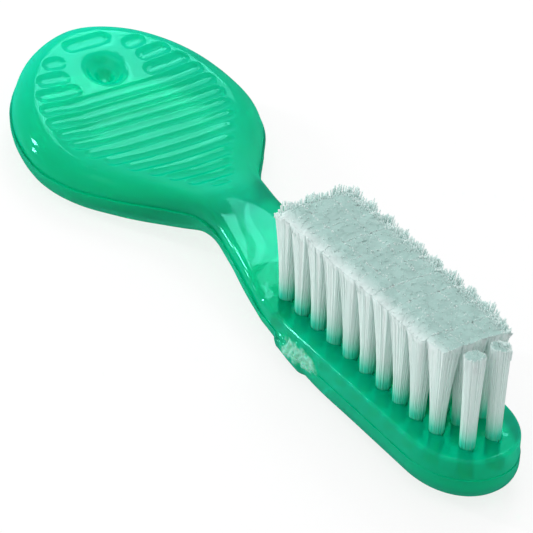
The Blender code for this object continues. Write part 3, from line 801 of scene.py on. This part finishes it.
# %% [markdown]
# ## The tufts
#
# A tuft is a bunch of nylon filaments, folded in half round a flat metal anchor and driven into its
# bore. Hair curves would render well but leave no mesh, and cones would look like pegs. So each tuft has a
# ridged core for the filaments that stand so close that they can't be told apart. Round it stand single
# filaments, and shorter ones on top of it, whose uneven ends make the grain of the brush's surface.
#
# The tufts are round in their bores and spread to squares, which meet in one trimmed top. The top has
# soft waves over all the tufts, so that no tiles show. It rounds off at the near edge, and along the far
# edge and the first column the core falls away and lets the single filaments stand as a comb. The pair
# at the tip stands free and stays nearly round.

# %% Sizes of a tuft
tuft_height, root_radius, top_overlap, tuft_lean, tip_pair_lean = 10.6, 0.72, 0.02, 0.12, -0.05
row_splay, tip_tuft_half, wave_depth = 0.35, 0.95, 0.28
tuft_lean_shares = [0.25, 0, -0.42, 0, 0, 0, 0.5, 0.67, 0.83, 1]
outer_count, end_count, filament_sides, core_sides = 44, 90, 5, 60
outer_radius, end_radius, core_share = 0.085, 0.075, 0.96
outer_levels = np.array([-1.8, 0.3, 2.4, 4.8, 6.8, 8.0, 8.9])
core_levels = np.array([-1.8, 0.3, 1.8, 3.6, 5.4, 7.0, 8.2, 9.0, 10.3])
# The tip rises set how far into the painted shade of the trimmed top the filament ends reach.
end_levels, outer_tip_rise, end_tip_rise = np.array([9.0]), 0.9, 0.985
cap_shares, brim_share = np.array([0.985, 0.86, 0.66, 0.4]), 1.01
far_fall, near_fall, spread_power, wave_grain = 0.95, 0.4, 1.6, 0.6
mean_end, shorter, longer, proud_end, proud_share = 10.25, -0.12, 0.06, 0.14, 0.12
comb_spread, corner_cut, clump_height, clump_grain = 0.4, 0.6, 1.2, 0.35
filament_bend, core_ridges, cap_grain, golden_turn = 0.05, 0.018, 0.035, 2.39996
print("a tuft has", outer_count, "filaments round its core and", end_count, "ends on top")


# %% Where strands stand and how high they reach
def stand(spots, heights, tuft):
    """Where strands stand at each height, from their places in the bore as shares of its radius."""
    x, y, lean_x, lean_y, half_x, half_y = tuft[:6]
    sx, sy = spots[:, :1], spots[:, 1:]
    grow = np.clip(heights / tuft_height, 0, 1) ** spread_power
    squareness = 1.0 if half_x > tip_tuft_half else 0.3
    corner = (np.hypot(sx, sy) / np.maximum(abs(sx), abs(sy))) ** squareness
    return (x + sx * (root_radius + (half_x * corner - root_radius) * grow) + lean_x * grow,
            y + sy * (root_radius + (half_y * corner - root_radius) * grow) + lean_y * grow)


def cut_away(spots, tuft):
    """0 to 1 towards a side of the brush where the filaments stand apart."""
    away_x, away_y = tuft[6:]
    return np.clip(np.maximum(spots[:, 0] * away_x, spots[:, 1] * away_y), 0, 1)


def near_edge(spots, tuft):
    """0 on the trimmed top, rising to 1 at its near edge."""
    _, y = stand(spots, np.array([tuft_height]), tuft)
    return np.clip((-y[:, 0] - 2.3) / 1.7, 0, 1) ** 2


def top_wave(spots, tuft):
    """How far the trimmed top stands above or below its mean height, in waves over the whole brush."""
    x, y = stand(spots, np.array([tuft_height]), tuft)
    waves = np.array([noise.noise((u * wave_grain, v * wave_grain, 11.0)) for u, v in zip(x[:, 0], y[:, 0])])
    return waves * wave_depth - near_fall * near_edge(spots, tuft)


def core_top(spots, tuft):
    """The same for the core, which also falls away where the filaments stand apart."""
    return top_wave(spots, tuft) - far_fall * cut_away(spots, tuft)


# %% Filaments
def join_rings(base, rings, sides):
    """Faces of a closed tube whose rings of points follow one another from `base`."""
    faces = [tuple(reversed(range(base, base + sides)))]
    for ring in range(rings - 1):
        a, b = base + ring * sides, base + (ring + 1) * sides
        faces += [(a + q, a + (q + 1) % sides, b + (q + 1) % sides, b + q) for q in range(sides)]
    last = base + (rings - 1) * sides
    return faces + [tuple(range(last, last + sides))]


def filaments(spots, radius, levels, tuft, chance, tip_rise):
    """Thin tubes with rounded ends. Returns points, faces and how far up each point is, which sets their
    painted shade.
    """
    one_each = (len(spots), 1)
    far_side, near_side = cut_away(spots, tuft)[:, None], near_edge(spots, tuft)[:, None]
    ends = mean_end + chance.uniform(shorter, longer, one_each)
    ends += proud_end * (chance.random(one_each) < proud_share)
    in_corner = 2 * np.minimum(abs(spots[:, :1]), abs(spots[:, 1:])) ** 2
    clump = clump_height * noise.noise((tuft[0] * clump_grain, tuft[1] * clump_grain, 2.0))
    clump = np.clip(clump, -0.3, 0.1)
    ends += far_side * (comb_spread * chance.random(one_each) - corner_cut * in_corner + clump)
    ends += top_wave(spots, tuft)[:, None]
    heights = np.concatenate([np.tile(levels, one_each), ends + [[-0.1, 0.0, 0.05]]], 1)
    cx, cy = stand(spots, heights, tuft)
    rise = np.clip(heights / tuft_height, 0, 1)
    bend = chance.normal(0, filament_bend, (len(spots), 2))
    cx, cy = cx + bend[:, :1] * rise ** 1.5, cy + bend[:, 1:] * rise ** 1.5
    thin = np.ones(heights.shape[1])
    thin[-1] = 0.5
    size = radius * chance.uniform(0.85, 1.05, one_each) * thin
    turns = np.linspace(0, 2 * math.pi, filament_sides, endpoint=False)
    points = np.stack([cx[:, :, None] + size[:, :, None] * np.cos(turns),
                       cy[:, :, None] + size[:, :, None] * np.sin(turns),
                       heights[:, :, None] + 0 * turns], -1).reshape(-1, 3)
    # The rise also sets the painted shade of the top, so the ends stop short of it at the near and far edges.
    up = np.minimum(rise, tip_rise - 0.04 * near_side - 0.1 * far_side)
    rings, faces = heights.shape[1], []
    for base in range(0, len(points), rings * filament_sides):
        faces += join_rings(base, rings, filament_sides)
    return points, faces, np.repeat(up.reshape(-1), filament_sides)


# %% Core
def spread(share, turn):
    """Places in a bore, from their distance and their turn round its middle."""
    return np.stack([share * np.cos(turn), share * np.sin(turn)], 1)


def core(tuft, chance):
    """The close-packed middle of a tuft, ridged along the filaments, with a grainy top."""
    reach = core_share + chance.normal(0, core_ridges, core_sides)
    around = spread(1.0, np.linspace(0, 2 * math.pi, core_sides, endpoint=False))
    cx, cy = stand(reach[:, None] * around, core_levels, tuft)
    brim_x, brim_y = stand(brim_share * around, core_levels[-1:], tuft)
    cx[:, -1:], cy[:, -1:] = brim_x, brim_y
    rings = [np.stack([cx[:, k], cy[:, k], np.full(core_sides, level)], 1)
             for k, level in enumerate(core_levels)]
    middle, edge = rings[-1].mean(0), rings[-1].copy()
    rings[-1][:, 2] += core_top(around, tuft)
    up = [np.repeat(np.clip(core_levels / tuft_height, 0, 1), core_sides)]
    for share in cap_shares:
        spots = around * share
        cap = middle + (edge - middle) * share
        cap[:, 2] += core_top(spots, tuft)
        cap[:, 2] += chance.normal(0, cap_grain, core_sides)
        rings.append(cap)
        # Less painted shade on the cap towards the near edge and where the filaments stand apart.
        up.append(1 - 0.05 * near_edge(spots, tuft) - 0.06 * cut_away(spots, tuft))
    return np.concatenate(rings), join_rings(0, len(rings), core_sides), np.concatenate(up)


# %% A whole tuft
def make_tuft(tuft, seed):
    """Core, outer filaments and the ends on top, as one set of points, faces and rises."""
    chance = np.random.default_rng(seed)
    turn = np.linspace(0, 2 * math.pi, outer_count, endpoint=False) + chance.normal(0, 0.06, outer_count)
    outer = spread(chance.uniform(0.9, 1.0, outer_count), turn)
    turn = np.arange(end_count) * golden_turn + chance.uniform(-0.3, 0.3, end_count)
    inner = spread(np.sqrt((np.arange(end_count) + 0.5) / end_count), turn)
    points, faces, up = [], [], []
    for more_points, more_faces, more_up in (
            core(tuft, chance),
            filaments(outer, outer_radius, outer_levels, tuft, chance, outer_tip_rise),
            filaments(inner, end_radius, end_levels, tuft, chance, end_tip_rise)):
        base = sum(len(p) for p in points)
        points.append(more_points)
        faces += [tuple(base + k for k in face) for face in more_faces]
        up.append(more_up)
    return np.concatenate(points), faces, np.concatenate(up)


# %% [markdown]
# ## Nylon
#
# Thin nylon filaments are milky: they catch light, and they let some through to the next ones. Their colour
# carries painted light and shade: a painted green, as of light from the moulding, at their roots, and painted
# darker shade at the trimmed top, where they are seen end on. A finish for single hairs would need curves. A
# soft pale plastic mixed with a translucent shader does the same for meshes, and a number that rises along
# each filament sets this painted colour from root to end.

# %% Nylon
nylon = Finish(bpy.data.materials.new("white_nylon_filament"))
stretched = nylon.node("ShaderNodeVectorMath", {"operation": "MULTIPLY"},
                       {0: nylon.node("ShaderNodeTexCoord", output="Object"), 1: (1.0, 1.0, 0.05)})
streak = nylon.ramp(nylon.noise(3200, 2.0, 0.6, stretched), 0.35, 0.65)
rise_share = nylon.node("ShaderNodeAttribute", {"attribute_name": "rise"}, output="Fac")
# Painted light and shade along each filament: a painted green, as of light from the moulding, at the roots,
# white above, and painted grey-green shade at the trimmed top.
along = nylon.node("ShaderNodeValToRGB", {"stops": [
    (0.0, (0.0, 0.62, 0.42, 1)), (0.06, (0.06, 0.7, 0.52, 1)), (0.12, (0.3, 0.82, 0.68, 1)),
    (0.2, (0.64, 0.91, 0.84, 1)), (0.32, (0.86, 0.955, 0.935, 1)), (0.82, (0.89, 0.96, 0.95, 1)),
    (0.95, (0.8, 0.9, 0.89, 1)), (1.0, (0.43, 0.64, 0.6, 1))]}, {"Fac": rise_share})
shade = nylon.blend(streak * 0.16, along, (0.62, 0.76, 0.74, 1))
lit = nylon.node("ShaderNodeBsdfPrincipled", {}, {
    "Base Color": shade, "Roughness": 0.6, "IOR": 1.5, "Specular IOR Level": 0.05})
lit_through = nylon.node("ShaderNodeBsdfTranslucent", {}, {"Color": (0.92, 0.98, 0.965, 1)})
share_through = nylon.ramp(rise_share, 0.02, 0.3) * 0.4 - nylon.ramp(rise_share, 0.8, 1.0) * 0.15
nylon_material = nylon.close(
    nylon.node("ShaderNodeMixShader", {}, {0: share_through, 1: lit, 2: lit_through}))
print("nylon made with", len(nylon.tree.nodes), "nodes")

# %% [markdown]
# ## Planting
#
# A machine drives the tufts in one by one, all alike, and they splay a little afterwards. So one maker
# serves for all, with a seed for each, so that no two are the same. Only the far row leans out.

# %% Plant the tufts
for seed, (spot, x, y) in enumerate(tuft_spots):
    column = int(round((x - first_tuft_x) / tuft_pitch))
    away = (-1.0 if column == 0 else 0.0, 1.0 if y > 0 else 0.0)
    if column < row_count:
        side = last_row_spacing if column == row_count - 1 else row_spacing
        lean_y = row_splay if y > 0 else 0.0
        half_y = (side + row_splay) / 2 if y >= 0 else (side - row_splay) / 2
        tuft = (x, y, tuft_lean * tuft_lean_shares[column], lean_y,
                tuft_pitch / 2 + top_overlap, half_y + top_overlap)
    else:
        tuft = (x, y, tip_pair_lean, 0.0, tip_tuft_half, tip_tuft_half)
    tuft += away
    points, faces, up = make_tuft(tuft, seed)
    mesh = bpy.data.meshes.new("bristles_" + spot)
    mesh.from_pydata([tuple(lay_down @ Vector(v)) for v in points], [], faces)
    for polygon in mesh.polygons:
        polygon.use_smooth = True
    # The rise sets the nylon's painted light and shade from root to end.
    mesh.attributes.new("rise", "FLOAT", "POINT").data.foreach_set("value", up)
    mesh.materials.append(nylon_material)
    put_in_scene("bristles_" + spot, mesh, "white_nylon", "tuft_" + spot)
print("tufts:", len(tuft_spots), "with", outer_count + end_count, "filaments each")

# %% [markdown]
# ## Last settings
#
# The plastic bends and scatters each ray many times, so the limits on bounces are raised, or its middle
# would turn dark.

# %% Render settings
bpy.context.scene.view_settings.view_transform = "Standard"
bpy.context.scene.cycles.max_bounces = 32
bpy.context.scene.cycles.diffuse_bounces = 16
bpy.context.scene.cycles.transmission_bounces = 24
